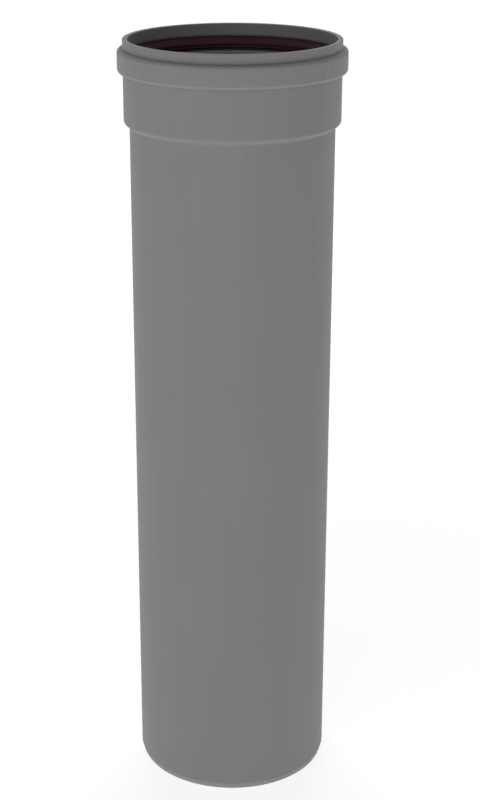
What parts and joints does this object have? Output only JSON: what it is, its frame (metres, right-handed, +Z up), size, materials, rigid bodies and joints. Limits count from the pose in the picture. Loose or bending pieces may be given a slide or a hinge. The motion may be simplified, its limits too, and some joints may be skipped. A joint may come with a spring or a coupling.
{
  "type": "flue pipe",
  "caption": "Straight plastic flue pipe with a formed push-fit socket, a bead that holds a dark red lip seal, and a chamfered spigot end.",
  "frame": {"origin": "centre of the spigot end face, on which the pipe stands", "axes": "+Z up along the bore, from the spigot end to the socket; the pipe is the same all round, so +X and +Y are free"},
  "size_m": [0.1441, 0.1442, 0.5025],
  "materials": {
    "polypropylene": "matte grey, as extruded",
    "seal_rubber": "satin dark red, as moulded"
  },
  "bodies": {
    "root": {"pipe": "polypropylene", "lip_seal": "seal_rubber"}
  },
  "joints": []
}
